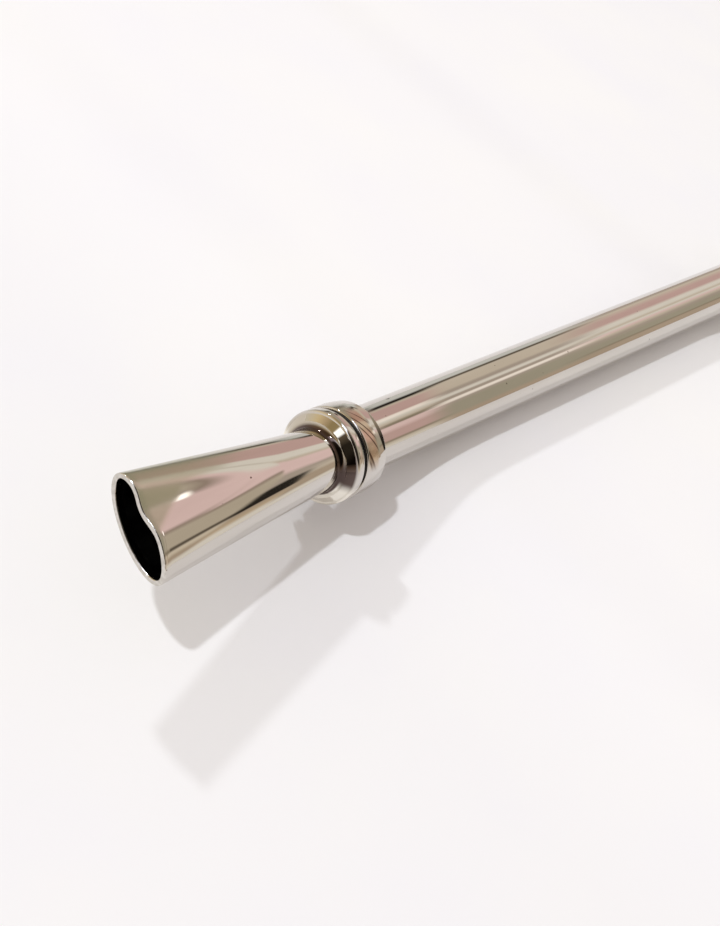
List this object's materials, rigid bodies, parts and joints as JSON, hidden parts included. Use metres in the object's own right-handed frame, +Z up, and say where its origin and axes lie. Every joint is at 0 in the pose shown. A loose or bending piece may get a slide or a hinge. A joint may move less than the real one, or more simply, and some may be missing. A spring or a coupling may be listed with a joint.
{
  "type": "bombilla",
  "caption": "Polished metal drinking straw for mate, with a flattened dented mouthpiece, screw-on collars and a perforated spoon filter.",
  "frame": {"origin": "centre of the overall box, on the surface the part lies on", "axes": "+X along the stem from the mouth to the filter, +Z up from the surface, and -Y the side to which the dented face of the mouthpiece leans"},
  "size_m": [0.205, 0.0208, 0.0113],
  "materials": {
    "polished_steel": "mirror polished",
    "strainer_steel": "satin",
    "seal_rubber": "matte"
  },
  "bodies": {
    "stem": {"stem_tube": "polished_steel", "stem_collar": "polished_steel", "filter_collar": "polished_steel"},
    "upper_seal": {"mouth_seal": "seal_rubber"},
    "mouth": {"mouthpiece": "polished_steel", "mouth_ring": "polished_steel"},
    "lower_seal": {"filter_seal": "seal_rubber"},
    "filter": {"filter_ring": "polished_steel", "filter_neck": "polished_steel", "filter_bowl": "polished_steel", "filter_plate": "strainer_steel"}
  },
  "joints": [
    {"name": "mouth_draw", "type": "slide", "parent": "stem", "child": "upper_seal", "axis": [-1, 0, 0], "range_m": [0, 0.0023]},
    {"name": "mouth_turn", "type": "hinge", "parent": "upper_seal", "child": "mouth", "pos_m": [-0.0728, 0, 0.00565], "axis": [-1, 0, 0], "range_deg": [0, 1080]},
    {"name": "filter_draw", "type": "slide", "parent": "stem", "child": "lower_seal", "axis": [1, 0, 0], "range_m": [0, 0.0023]},
    {"name": "filter_turn", "type": "hinge", "parent": "lower_seal", "child": "filter", "pos_m": [0.0605, 0, 0.00565], "axis": [1, 0, 0], "range_deg": [0, 1080]}
  ],
  "couplings": [
    {"joint": "mouth_draw", "follows": "mouth_turn", "m_per_rad": 0.00011937},
    {"joint": "filter_draw", "follows": "filter_turn", "m_per_rad": 0.00011937}
  ]
}
